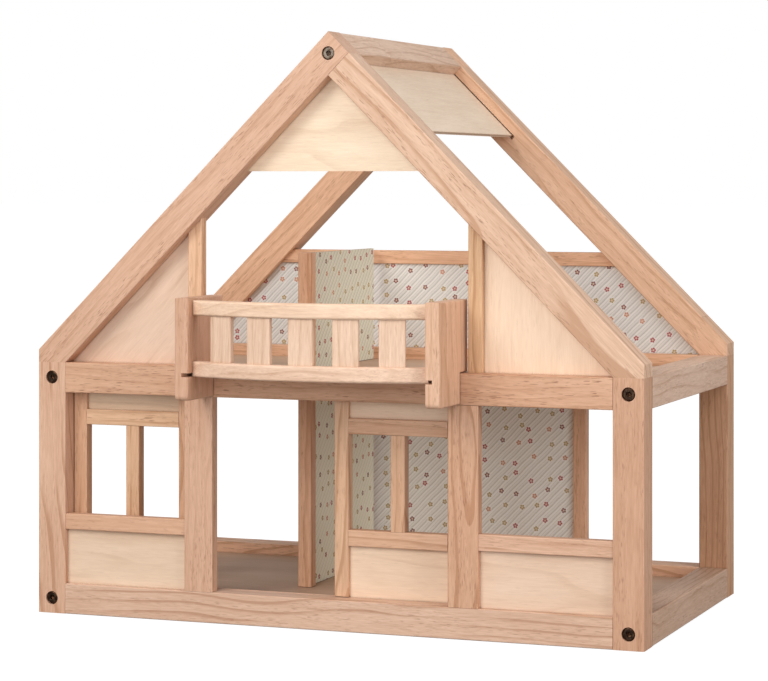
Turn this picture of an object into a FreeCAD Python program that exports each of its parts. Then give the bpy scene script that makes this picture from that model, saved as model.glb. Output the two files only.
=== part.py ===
import FreeCAD, Part
import math
import os

# Wooden dollhouse: an open A-frame house on two storeys, 45 degree roof, front balcony.
#
# Two frames of square bar stand front and rear and are bolted to bars that run between them.
# Thin plywood fills the gables, the lower front bays and the ridge of the roof. Two sliding doors share
# one track behind the front posts, a wallpapered partition stands in each storey, and the balcony hooks
# over the front loft beam on two pins.
#
# Millimetres, +X to the right seen from the front, +Y towards the back, +Z up. The origin is on the
# ground at the middle of the whole house, balcony included. The shapes are drawn with the front face of
# the house at Y = 0 and are moved back to that origin when they are written.

V = FreeCAD.Vector

# ---- the house ---------------------------------------------------------------------------------
bar = 25.0                      # square bar of the frames, side bars and ridge
width = 520.0
depth = 300.0
loft_top = 208.5                # top of the posts and of the loft beams

slim = 12.0                     # slim strip: doors, studs, partition edges
slim_depth = 10.0               # its depth, front to back
ply = 3.0                       # panels
floor_ply = 4.0                 # floors
groove = 4.0                    # how far a floor or a roof panel goes into its groove
play = 0.4                      # gap at every piece that slides or lifts off
bar_round = 0.9                 # rounding of the long edges of the square bars
slim_round = 0.8                # rounding of the long edges of the slim strips
slot_play = 0.2                 # gap round a board in its slot, on each side
over = 1.0                      # how far a cutting shape runs past the face that it opens

ground_top = 15.0               # top of the ground floor
loft_floor_top = 198.0          # top of the loft floor

# ---- front: fixed pieces -----------------------------------------------------------------------
door_post_width = 25.0
door_post_depth = 10.5
door_post_x = 101.3             # inner edge of a door post, from the middle
sill_bottom = 70.0
sill_top = 83.0
sill_setback = 1.0
lower_panel_setback = 5.0
stud_x = 115.0                  # inner edge of a loft stud
stud_setback = 9.0
upper_panel_setback = 14.0
gable_panel_bottom = 367.0

# ---- sliding doors -----------------------------------------------------------------------------
door_width = 108.2
door_setback = 15.0             # the doors run at the back of the front frame
door_x = (-234.7, -0.4)         # left edge of each door at rest
door_bottom = 25.6
door_top = 182.7
door_rails = ((66.3, 79.3), (156.2, 168.9))
track_depth = 4.5
track_width = ply + 2 * play

# ---- rear walls and partitions -----------------------------------------------------------------
rear_post_x = 120.0             # inner edge of a rear wall post
rear_strip_front = 280.0
rear_panel_front = 283.0
rear_rail_bottom = 284.0
rear_rail_top = 296.0
partition_front = 110.0
partition_rear = 270.0
partition_x = -66.0
partition_round = 1.5
upper_partition_top = 298.0

# ---- roof panels -------------------------------------------------------------------------------
roof_panel_drop = 10.0          # below the outer face of the rafters
roof_panel_end = 102.0          # lower edge, down the slope from the ridge
roof_slot_spare = 3.0           # how far its slots run on past its lower edge
roof_slot_gap = 1.0             # gap above it in its slots

# ---- balcony -----------------------------------------------------------------------------------
bracket_outer_x = 111.8
bracket_width = 12.0
bracket_front = -49.5
bracket_bottom = 184.3
bracket_top = 266.0
bracket_back = 18.0
bracket_corner = 4.0
bracket_round = 1.5
rail_bulge = 20.0               # how far the curved rails stand out at the middle
rail_end_front = -41.0          # front of the rails where they meet the brackets
rail_thickness = 10.0
top_rail = (252.0, 264.0)
low_rail = (203.0, 215.5)
rail_round = 1.8
balcony_floor_bottom = 203.3
balcony_floor_back = -3.5
slot_depth = 6.0                # of the slots in the brackets that hold the floor
baluster_count = 5
baluster_pitch = 36.5
baluster_width = 21.0
baluster_thickness = 5.0
baluster_round = 1.2
pin_y = 7.2
pin_in_bracket = 8.0
pin_in_beam = 9.5

# ---- fasteners ---------------------------------------------------------------------------------
head_radius = 5.0
head_height = 5.5
head_sunk = 1.0
head_round = 0.8
shank_radius = 3.0
bolt_length = 50.0              # under the head
hex_across_flats = 4.0
hex_depth = 2.5
nut_radius = 5.0
nut_length = 15.0
nut_hole_depth = 20.5
nut_from_end = 7.0              # middle of the nut, back from the end of its bolt
bolt_bore_depth = 62.0          # from the face of the frame
head_play = 0.5                 # radial gap round a bolt's head
dowel_radius = 3.0
dowel_in_bar = 16.0             # level dowels: share in the cross bar
dowel_in_post = 8.0             # level dowels: share in the post
eave_dowel = (6.0, 12.0)        # upright dowels: shares in the post and in the rafter
ridge_dowel = (7.0, 15.0)       # slanting dowel: shares in the through rafter and in the butting one
dowel_spare = 0.5               # how much longer a bore is than its dowel, at each end
bore_play = 0.08                # radial gap of a bolt or a dowel in its bore

# ---- worked out --------------------------------------------------------------------------------
half = width / 2
inner = half - bar                                  # inner face of the posts
beam_bottom = loft_top - bar
diagonal = bar * math.sqrt(2)
inner_apex = loft_top + inner                       # height where the rafters' lower edges meet
apex = inner_apex + diagonal
rafter_heel = apex - half                           # top of the rafter's upright tail
mid_bar = bar / 2
bolt_z = (mid_bar, loft_top - mid_bar)
ridge_z = apex - bar / math.sqrt(2)                 # centre of the ridge
rail_half = bracket_outer_x - bracket_width
rail_radius = (rail_half ** 2 + rail_bulge ** 2) / (2 * rail_bulge)
rail_centre_y = rail_end_front - rail_bulge + rail_radius
balcony_reach = rail_bulge - rail_end_front
shift = V(0, -(depth - balcony_reach) / 2, 0)       # from the front face to the origin

along_x = V(1, 0, 0)
along_y = V(0, 1, 0)
along_z = V(0, 0, 1)
up_right = V(1, 0, 1).normalize()
up_left = V(-1, 0, 1).normalize()

nodes = {}


def box(x, y, z):
    """A block between two values on each axis."""
    return Part.makeBox(x[1] - x[0], y[1] - y[0], z[1] - z[0], V(x[0], y[0], z[0]))


def prism_xz(points, y):
    """An outline in the front view, run from y[0] to y[1]."""
    corners = [V(px, y[0], pz) for px, pz in points]
    face = Part.Face(Part.makePolygon(corners + corners[:1]))
    return face.extrude(V(0, y[1] - y[0], 0))


def prism_yz(points, x):
    """An outline in the side view, run from x[0] to x[1]."""
    corners = [V(x[0], py, pz) for py, pz in points]
    face = Part.Face(Part.makePolygon(corners + corners[:1]))
    return face.extrude(V(x[1] - x[0], 0, 0))


def rod(radius, start, end):
    """A round bar between two points."""
    along = end - start
    return Part.makeCylinder(radius, along.Length, start, along)


def eased(shape, ways, radius):
    """The shape with every straight edge that runs along one of the ways rounded."""
    edges = []
    for edge in shape.Edges:
        tangent = edge.tangentAt(edge.FirstParameter)
        if any(abs(tangent.dot(way)) > 0.999 for way in ways):
            edges.append(edge)
    return shape.makeFillet(radius, edges)


def strip(x, y, z, way):
    """A slim strip whose long edges run along the way."""
    return eased(box(x, y, z), [way], slim_round)


def mirrored_x(shape):
    """The same shape on the other side of the middle."""
    return shape.mirror(V(0, 0, 0), along_x)


def to_rear(shape):
    """The rear copy of a front piece, mirrored front to back."""
    return shape.mirror(V(0, depth / 2, 0), along_y)


def cut(shape, tools):
    """The shape less every tool."""
    return shape.cut(Part.makeCompound(tools))


def on_slope(side, down, drop):
    """A point of the front view: down the slope from the ridge, then square to it into the house."""
    root = math.sqrt(2)
    return (side * (down - drop) / root, apex - (down + drop) / root)


def slope_slab(side, down, drop, y):
    """A slab that lies along one slope."""
    corners = [
        on_slope(side, down[0], drop[0]),
        on_slope(side, down[1], drop[0]),
        on_slope(side, down[1], drop[1]),
        on_slope(side, down[0], drop[1]),
    ]
    return prism_xz(corners, y)


# ---- bores shared by the frames and their fasteners --------------------------------------------

def bolt_axes():
    """Where a joint bolt enters each frame, in the front view."""
    low_and_high = [(side * (half - mid_bar), z) for side in (-1, 1) for z in bolt_z]
    return low_and_high + [(0.0, ridge_z)]


def bolt_bores():
    """Counterbore and shank hole of each front bolt, long enough for the side bars too."""
    tools = []
    for x, z in bolt_axes():
        tools.append(rod(head_radius + head_play, V(x, -over, z), V(x, head_sunk + head_height, z)))
        tools.append(rod(shank_radius + 2 * bore_play, V(x, -over, z), V(x, bolt_bore_depth, z)))
    return tools


def nut_axes():
    """Middle of each front barrel nut and the way its hole opens."""
    y = head_sunk + head_height + bolt_length - nut_from_end
    root = math.sqrt(0.5)
    axes = []
    for x, z in bolt_axes()[:-1]:
        axes.append((V(x, y, z), V(0, 0, -1)))
    axes.append((V(0, y, ridge_z), V(-root, 0, -root)))
    return axes


def nut_bores():
    """Blind hole of each front barrel nut, open on the hidden face of its bar."""
    tools = []
    for centre, way in nut_axes():
        blind_end = centre - way * (nut_hole_depth - mid_bar)
        tools.append(rod(nut_radius + bore_play, blind_end, centre + way * (mid_bar + over)))
    return tools


def dowel_spans():
    """The two ends of each dowel of the front frame."""
    spans = []
    for side in (-1, 1):
        for z in bolt_z:
            start = V(side * (inner - dowel_in_bar), mid_bar, z)
            spans.append((start, V(side * (inner + dowel_in_post), mid_bar, z)))
        x = side * (half - mid_bar)
        spans.append((V(x, mid_bar, loft_top - eave_dowel[0]), V(x, mid_bar, loft_top + eave_dowel[1])))
    root = math.sqrt(0.5)
    joint = V(bar * root / 2, mid_bar, inner_apex + bar * root / 2)
    along = V(root, 0, -root)
    spans.append((joint - along * ridge_dowel[0], joint + along * ridge_dowel[1]))
    return spans


def dowel_bores():
    """Bores of the front dowels, a little longer than the dowels."""
    tools = []
    for start, end in dowel_spans():
        along = (end - start).normalize()
        spare = along * dowel_spare
        tools.append(rod(dowel_radius + bore_play, start - spare, end + spare))
    return tools


frame_bores = bolt_bores() + dowel_bores()
side_bores = bolt_bores() + nut_bores()
floor_slots = [
    box((-inner - groove, inner + groove), (bar - groove, depth - bar + groove), (top - floor_ply, top))
    for top in (ground_top, loft_floor_top)
]
roof_slots = [
    slope_slab(
        side, (bar, roof_panel_end + roof_slot_spare),
        (roof_panel_drop - roof_slot_gap, roof_panel_drop + ply + slot_play),
        (bar - groove - play, depth - bar + groove + play))
    for side in (-1, 1)
]


# ---- the two frames ----------------------------------------------------------------------------

def post():
    """Right front corner post."""
    square = eased(box((inner, half), (0, bar), (0, loft_top)), [along_z], bar_round)
    return cut(square, frame_bores)


def through_rafter():
    """Left front rafter, which runs through at the ridge."""
    outline = [
        (-half, loft_top),
        (-inner, loft_top),
        (bar / math.sqrt(2), ridge_z),
        (0, apex),
        (-half, rafter_heel),
    ]
    rafter = eased(prism_xz(outline, (0, bar)), [up_right, along_z], bar_round)
    return cut(rafter, frame_bores + roof_slots)


def butt_rafter():
    """Right front rafter, which butts against the other one."""
    outline = [
        (half, loft_top),
        (half, rafter_heel),
        (bar / math.sqrt(2), ridge_z),
        (0, inner_apex),
        (inner, loft_top),
    ]
    rafter = eased(prism_xz(outline, (0, bar)), [up_left, along_z], bar_round)
    return cut(rafter, frame_bores + roof_slots)


def cross_bar(bottom):
    """A level bar of the front frame, between the posts."""
    square = eased(box((-inner, inner), (0, bar), (bottom, bottom + bar)), [along_x], bar_round)
    return cut(square, frame_bores + floor_slots)


def door_tracks():
    """The grooves above and below the sliding doors."""
    middle = door_setback + slim_depth / 2
    across = (middle - track_width / 2, middle + track_width / 2)
    return [
        box((-inner, inner), across, (bar - track_depth, bar + over)),
        box((-inner, inner), across, (beam_bottom - over, beam_bottom + track_depth)),
    ]


def pin_axes():
    """Where each balcony pin stands."""
    x = bracket_outer_x - bracket_width / 2
    return [(-x, pin_y), (x, pin_y)]


def pin_bores():
    """The blind holes for the balcony pins in the loft beam."""
    deep = loft_top - pin_in_beam - over
    return [rod(dowel_radius + play, V(x, y, deep), V(x, y, loft_top + over)) for x, y in pin_axes()]


nodes["front_post_left"] = mirrored_x(post())
nodes["front_post_right"] = post()
nodes["rear_post_left"] = to_rear(mirrored_x(post()))
nodes["rear_post_right"] = to_rear(post())
nodes["front_rafter_left"] = through_rafter()
nodes["front_rafter_right"] = butt_rafter()
nodes["rear_rafter_left"] = to_rear(through_rafter())
nodes["rear_rafter_right"] = to_rear(butt_rafter())
nodes["front_base_rail"] = cut(cross_bar(0), door_tracks())
nodes["front_loft_beam"] = cut(cross_bar(beam_bottom), door_tracks() + pin_bores())
nodes["rear_base_rail"] = to_rear(cross_bar(0))
nodes["rear_loft_beam"] = to_rear(cross_bar(beam_bottom))


# ---- bars between the frames, floors and roof --------------------------------------------------

def side_bar(bottom):
    """A bar on the right side, between the front and the rear frame."""
    square = eased(box((inner, half), (bar, depth - bar), (bottom, bottom + bar)), [along_y], bar_round)
    return cut(square, side_bores + [to_rear(tool) for tool in side_bores] + floor_slots)


def ridge():
    """The square ridge bar, set on its corner so that two faces lie in the slopes."""
    square = eased(slope_slab(1, (0, bar), (0, bar), (bar, depth - bar)), [along_y], bar_round)
    return cut(square, side_bores + [to_rear(tool) for tool in side_bores])


def floor_board(top):
    """A floor with its corners notched round the posts."""
    z = (top - floor_ply, top)
    reach = groove - slot_play
    across = box((-inner - reach, inner + reach), (bar, depth - bar), z)
    along = box((-inner, inner), (bar - reach, depth - bar + reach), z)
    return across.fuse(along).removeSplitter()


for name, bottom in (("side_base_rail", 0), ("side_loft_beam", beam_bottom)):
    nodes[name + "_right"] = side_bar(bottom)
    nodes[name + "_left"] = mirrored_x(side_bar(bottom))
nodes["ridge_beam"] = ridge()
nodes["ground_floor"] = floor_board(ground_top)
nodes["loft_floor"] = floor_board(loft_floor_top)
for name, side in (("left", -1), ("right", 1)):
    nodes["roof_panel_" + name] = slope_slab(
        side, (bar, roof_panel_end), (roof_panel_drop, roof_panel_drop + ply),
        (bar - groove, depth - bar + groove))


# ---- fixed pieces of the front -----------------------------------------------------------------

door_post_outer = door_post_x + door_post_width
for name, side in (("left", -1), ("right", 1)):
    post_x = sorted((side * door_post_x, side * door_post_outer))
    bay_x = sorted((side * door_post_outer, side * inner))
    nodes["door_post_" + name] = strip(post_x, (0, door_post_depth), (bar, beam_bottom), along_z)
    nodes["window_sill_" + name] = strip(
        bay_x, (sill_setback, door_post_depth), (sill_bottom, sill_top), along_x)
    nodes["lower_front_panel_" + name] = box(
        bay_x, (lower_panel_setback, lower_panel_setback + ply), (bar, sill_bottom))

for name, side in (("left", -1), ("right", 1)):
    near = side * stud_x
    far = side * (stud_x + slim)
    stud_outline = [
        (near, loft_top),
        (far, loft_top),
        (far, inner_apex - abs(far)),
        (near, inner_apex - abs(near)),
    ]
    stud = prism_xz(stud_outline, (stud_setback, stud_setback + slim_depth))
    nodes["loft_stud_" + name] = eased(stud, [along_z], slim_round)
    eave_outline = [(far, loft_top), (side * inner, loft_top), (far, inner_apex - abs(far))]
    nodes["eave_panel_" + name] = prism_xz(eave_outline, (upper_panel_setback, upper_panel_setback + ply))

gable_half = inner_apex - gable_panel_bottom
nodes["gable_panel"] = prism_xz(
    [(-gable_half, gable_panel_bottom), (gable_half, gable_panel_bottom), (0, inner_apex)],
    (upper_panel_setback, upper_panel_setback + ply))


# ---- sliding doors -----------------------------------------------------------------------------

def door(left):
    """The pieces of one door whose left edge is at the given place."""
    y = (door_setback, door_setback + slim_depth)
    middle_y = door_setback + slim_depth / 2
    panel_y = (middle_y - ply / 2, middle_y + ply / 2)
    inside = (left + slim, left + door_width - slim)
    middle_x = left + door_width / 2
    low, high = door_rails
    stiles = [
        strip((left, inside[0]), y, (door_bottom, door_top), along_z),
        strip((inside[1], left + door_width), y, (door_bottom, door_top), along_z),
    ]
    rails = [strip(inside, y, span, along_x) for span in door_rails]
    panels = [
        box(inside, panel_y, (bar - track_depth + play, low[0])),
        box(inside, panel_y, (high[1], beam_bottom + track_depth - play)),
    ]
    return {
        "stiles": Part.makeCompound(stiles),
        "rails": Part.makeCompound(rails),
        "muntin": strip((middle_x - slim / 2, middle_x + slim / 2), y, (low[1], high[0]), along_z),
        "panels": Part.makeCompound(panels),
    }


for name, left in zip(("left", "right"), door_x):
    for piece, shape in door(left).items():
        nodes["door_" + name + "_" + piece] = shape


# ---- rear walls --------------------------------------------------------------------------------

rear_strip_y = (rear_strip_front, rear_strip_front + slim_depth)
rear_panel_y = (rear_panel_front, rear_panel_front + ply)


def under_rafters(bottom, top, y):
    """An outline that fills the space between the rear rafters over a range of heights."""
    return prism_xz(
        [
            (-(inner_apex - bottom), bottom),
            (inner_apex - bottom, bottom),
            (inner_apex - top, top),
            (-(inner_apex - top), top),
        ],
        y)


rear_post = strip((rear_post_x, rear_post_x + slim), rear_strip_y, (bar, beam_bottom), along_z)
nodes["rear_wall_posts"] = Part.makeCompound([rear_post, mirrored_x(rear_post)])
nodes["rear_wall_lower"] = box((-rear_post_x, rear_post_x), rear_panel_y, (bar, beam_bottom))
nodes["rear_wall_rail"] = eased(
    under_rafters(rear_rail_bottom, rear_rail_top, rear_strip_y), [along_x], slim_round)
nodes["rear_wall_upper"] = under_rafters(loft_top, rear_rail_bottom, rear_panel_y)


# ---- partitions --------------------------------------------------------------------------------

def partition(bottom, top):
    """The edge strip and the board of a partition that stands across the house."""
    edge_x = (partition_x - slim / 2, partition_x + slim / 2)
    edge_y = (partition_front, partition_front + slim)
    board_x = (partition_x - ply / 2, partition_x + ply / 2)
    board_y = (partition_front + slim - groove, partition_rear)
    board = box(board_x, board_y, (bottom, top))
    edge = eased(box(edge_x, edge_y, (bottom, top)), [along_z], partition_round)
    return edge.cut(board), board


lower_edge, lower_board = partition(ground_top + play, loft_floor_top - floor_ply - play)
upper_edge, upper_board = partition(loft_floor_top + play, upper_partition_top)
nodes["lower_partition_edge"] = lower_edge
nodes["lower_partition_board"] = lower_board
nodes["upper_partition_edge"] = upper_edge
nodes["upper_partition_board"] = upper_board


# ---- balcony -----------------------------------------------------------------------------------

def curved_rail(z):
    """A level rail that follows the balcony's curve between the brackets."""
    centre = V(0, rail_centre_y, z[0])
    disc = Part.makeCylinder(rail_radius, z[1] - z[0], centre)
    hole = Part.makeCylinder(rail_radius - rail_thickness, z[1] - z[0], centre)
    ring = disc.cut(hole)
    ring = ring.makeFillet(rail_round, [edge for edge in ring.Edges if edge.Closed])
    keep = box((-rail_half, rail_half), (rail_end_front - rail_bulge - over, 0), z)
    return ring.common(keep)


def bracket():
    """Right bracket: a thick board that rests on the loft beam and reaches down its front."""
    outline = [
        (bracket_front, bracket_bottom),
        (-play, bracket_bottom),
        (-play, loft_top + play),
        (bracket_back, loft_top + play),
        (bracket_back, bracket_top),
        (bracket_front, bracket_top),
    ]
    shape = prism_yz(outline, (rail_half, bracket_outer_x))
    low_front = V(rail_half + bracket_width / 2, bracket_front, bracket_bottom)
    corner = min(shape.Edges, key=lambda edge: edge.CenterOfMass.distanceToPoint(low_front))
    shape = shape.makeFillet(bracket_corner, [corner])
    rims = [edge for edge in shape.Edges if abs(edge.tangentAt(edge.FirstParameter).x) < 0.01]
    shape = shape.makeFillet(bracket_round, rims)
    slot = box(
        (rail_half - over, rail_half + slot_depth), (bracket_front - over, balcony_floor_back + slot_play),
        (balcony_floor_bottom - slot_play / 2, balcony_floor_bottom + ply + slot_play / 2))
    x, y = pin_axes()[1]
    bore_end = loft_top + play + pin_in_bracket
    bore = rod(dowel_radius + bore_play, V(x, y, loft_top - over), V(x, y, bore_end))
    return cut(shape, [slot, bore])


def balcony_floor():
    """Floor board: its sides lie in the brackets' slots and its front follows the rail."""
    z = (balcony_floor_bottom, balcony_floor_bottom + ply)
    inner_radius = rail_radius - rail_thickness
    disc = Part.makeCylinder(inner_radius, ply, V(0, rail_centre_y, z[0]))
    middle = disc.common(box((-rail_half, rail_half), (rail_end_front - rail_bulge, balcony_floor_back), z))
    side_front = rail_centre_y - math.sqrt(inner_radius ** 2 - rail_half ** 2)
    reach = rail_half + slot_depth - slot_play
    sides = box((-reach, reach), (side_front, balcony_floor_back), z)
    return middle.fuse(sides).removeSplitter()


def balusters():
    """Flat balusters spread along the curve, each square to it."""
    radius = rail_radius - rail_thickness / 2
    shapes = []
    for index in range(baluster_count):
        along = (index - (baluster_count - 1) / 2) * baluster_pitch
        front = rail_centre_y - radius - baluster_thickness / 2
        upright = box(
            (-baluster_width / 2, baluster_width / 2),
            (front, front + baluster_thickness),
            (low_rail[1], top_rail[0]))
        upright = eased(upright, [along_z], baluster_round)
        upright.rotate(V(0, rail_centre_y, 0), along_z, math.degrees(along / radius))
        shapes.append(upright)
    return Part.makeCompound(shapes)


nodes["balcony_bracket_right"] = bracket()
nodes["balcony_bracket_left"] = mirrored_x(bracket())
nodes["balcony_top_rail"] = curved_rail(top_rail)
nodes["balcony_low_rail"] = curved_rail(low_rail)
nodes["balcony_floor"] = balcony_floor()
nodes["balcony_balusters"] = balusters()
pin_top = loft_top + play + pin_in_bracket - slot_play
nodes["balcony_pins"] = Part.makeCompound([
    rod(dowel_radius, V(x, y, loft_top - pin_in_beam), V(x, y, pin_top)) for x, y in pin_axes()])


# ---- fasteners ---------------------------------------------------------------------------------

def joint_bolt(x, z):
    """A front socket-head joint bolt, its head sunk in the frame."""
    under_head = head_sunk + head_height
    head = rod(head_radius, V(x, head_sunk, z), V(x, under_head, z))
    shank = rod(shank_radius, V(x, under_head, z), V(x, under_head + bolt_length, z))
    corner = hex_across_flats / math.sqrt(3)
    corners = []
    for step in range(6):
        turn = math.radians(60 * step)
        corners.append((x + corner * math.cos(turn), z + corner * math.sin(turn)))
    socket = prism_xz(corners, (head_sunk - over, head_sunk + hex_depth))
    rim = [edge for edge in head.Edges if edge.Closed and abs(edge.CenterOfMass.y - head_sunk) < 0.01]
    head = head.makeFillet(head_round, rim)
    return head.fuse(shank).cut(socket).removeSplitter()


def barrel_nut(centre, way):
    """A round cross nut with the bolt's bore through it."""
    nut = rod(nut_radius, centre - way * nut_length / 2, centre + way * nut_length / 2)
    through = along_y * (nut_radius + over)
    return nut.cut(rod(shank_radius + bore_play, centre - through, centre + through))


front_bolts = [joint_bolt(x, z) for x, z in bolt_axes()]
front_nuts = [barrel_nut(centre, way) for centre, way in nut_axes()]
front_dowels = [rod(dowel_radius, start, end) for start, end in dowel_spans()]
fasteners = {
    "corner_bolts": front_bolts[:-1],
    "ridge_bolts": front_bolts[-1:],
    "barrel_nuts": front_nuts,
    "frame_dowels": front_dowels,
}
for name, front in fasteners.items():
    nodes[name] = Part.makeCompound(front + [to_rear(shape) for shape in front])


# ---- write every piece -------------------------------------------------------------------------

os.makedirs("parts", exist_ok=True)
for name, shape in nodes.items():
    moved = shape.copy()
    moved.translate(shift)
    moved.exportStep("parts/" + name + ".step")
print(len(nodes), "nodes")
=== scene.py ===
import math

import bmesh
import bpy
from mathutils import Euler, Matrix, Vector


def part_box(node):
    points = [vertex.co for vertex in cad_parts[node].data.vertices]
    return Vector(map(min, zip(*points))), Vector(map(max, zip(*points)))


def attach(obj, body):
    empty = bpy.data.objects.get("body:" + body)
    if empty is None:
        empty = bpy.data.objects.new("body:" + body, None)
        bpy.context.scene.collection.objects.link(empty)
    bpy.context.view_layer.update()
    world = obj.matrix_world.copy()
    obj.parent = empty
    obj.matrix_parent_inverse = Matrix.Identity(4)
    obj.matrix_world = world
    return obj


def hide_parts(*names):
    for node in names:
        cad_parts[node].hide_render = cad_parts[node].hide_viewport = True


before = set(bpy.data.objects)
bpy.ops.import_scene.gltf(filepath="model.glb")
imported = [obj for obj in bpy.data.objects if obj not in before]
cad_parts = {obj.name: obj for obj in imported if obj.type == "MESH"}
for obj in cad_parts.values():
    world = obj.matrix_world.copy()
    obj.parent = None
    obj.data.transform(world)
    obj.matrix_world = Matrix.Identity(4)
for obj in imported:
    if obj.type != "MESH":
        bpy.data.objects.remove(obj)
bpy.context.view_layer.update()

# Wooden dollhouse: satin-varnished square bar, pale ply panels, boards with a printed paper face and
# dark socket-head bolts. Lengths are in metres and +Z is up.

MM = 0.001


def tint(red, green, blue):
    """A colour from its display values, 0 to 255."""
    def linear(value):
        value /= 255
        return value / 12.92 if value <= 0.04045 else ((value + 0.055) / 1.055) ** 2.4
    return (linear(red), linear(green), linear(blue), 1.0)


# ---- building node trees -----------------------------------------------------------------------

class Tree:
    """Adds nodes to a node tree, fills their inputs and links them."""

    def __init__(self, tree):
        self.tree = tree
        tree.nodes.clear()

    def feed(self, socket, value):
        """Links a socket to the input, or sets its plain value."""
        if isinstance(value, bpy.types.NodeSocket):
            self.tree.links.new(value, socket)
        else:
            socket.default_value = value

    def add(self, kind, inputs=None, **settings):
        """A new node with its settings and inputs."""
        node = self.tree.nodes.new(kind)
        for name, value in settings.items():
            setattr(node, name, value)
        for key, value in (inputs or {}).items():
            self.feed(node.inputs[key], value)
        return node

    def math(self, operation, *values, clamp=False):
        """A Math node's output."""
        node = self.add("ShaderNodeMath", dict(enumerate(values)), operation=operation, use_clamp=clamp)
        return node.outputs[0]

    def vector(self, operation, *values):
        """A Vector Math node."""
        return self.add("ShaderNodeVectorMath", dict(enumerate(values)), operation=operation)

    def step(self, value, low, high, to_low=0.0, to_high=1.0):
        """A smooth step from one value to another."""
        inputs = {"Value": value, "From Min": low, "From Max": high, "To Min": to_low, "To Max": to_high}
        return self.add("ShaderNodeMapRange", inputs, interpolation_type="SMOOTHSTEP").outputs[0]

    def mix(self, share, first, second, blend="MIX"):
        """A mix of two colours."""
        node = self.add("ShaderNodeMix", data_type="RGBA", blend_type=blend)
        self.feed(node.inputs[0], share)
        self.feed(node.inputs[6], first)
        self.feed(node.inputs[7], second)
        return node.outputs[2]

    def noise(self, vector, stretch, seed=0.0, detail=2.0, roughness=0.5):
        """Noise whose frequency along each axis is the stretch, from 0 to 1."""
        stretched = self.vector("MULTIPLY", vector, stretch).outputs[0]
        inputs = {"Vector": stretched, "W": seed, "Scale": 1.0, "Detail": detail, "Roughness": roughness}
        return self.add("ShaderNodeTexNoise", inputs, noise_dimensions="4D")

    def grit(self, vector, scale, detail):
        """Even noise, from 0 to 1."""
        inputs = {"Vector": vector, "Scale": scale, "Detail": detail}
        return self.add("ShaderNodeTexNoise", inputs).outputs[0]


def new_group(name, inputs, outputs, kind="ShaderNodeTree"):
    """A node group with named sockets, as (tree, its inputs' values, its outputs' sockets)."""
    group = bpy.data.node_groups.new(name, kind)
    for label, socket_type, default in inputs:
        socket = group.interface.new_socket(label, in_out="INPUT", socket_type=socket_type)
        if default is not None:
            socket.default_value = default
    for label, socket_type in outputs:
        group.interface.new_socket(label, in_out="OUTPUT", socket_type=socket_type)
    tree = Tree(group)
    return tree, tree.add("NodeGroupInput").outputs, tree.add("NodeGroupOutput").inputs


FLOAT = "NodeSocketFloat"
VECTOR = "NodeSocketVector"
COLOUR = "NodeSocketColor"


# ---- shared surface effects --------------------------------------------------------------------

# How closely each part of the wood figure is packed along the grain and across it, per metre.
RING_WAVER = (6.0, 22.0, 22.0)
RING_FADING = (8.0, 40.0, 40.0)
CLOUDS = (9.0, 30.0, 30.0)
STREAKS = (11.0, 240.0, 240.0)
FIBRES = (75.0, 950.0, 950.0)
PORES = (150.0, 1500.0, 1500.0)
PORE_BANDS = (14.0, 130.0, 130.0)

# How far the rings stray from true circles, the teeth of a finger joint, the inner and outer reach of its glue
# line, how much the seed grows beyond it, and a seam's place when a piece has none, far past its end.
RING_STRAY = 30.0 * MM
TOOTH = 2.5 * MM
TOOTH_SLOPE = 3.0
GLUE_LINE = (0.15 * MM, 0.45 * MM)
NEXT_LENGTH_SEED = 7.3
NO_SEAM = 9.0

# Multiples of a piece's base colour.
PALE_WOOD = (1.12, 1.15, 1.17, 1.0)
DEEP_WOOD = (0.78, 0.68, 0.60, 1.0)
IN_PORES = (0.45, 0.32, 0.25, 1.0)


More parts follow.
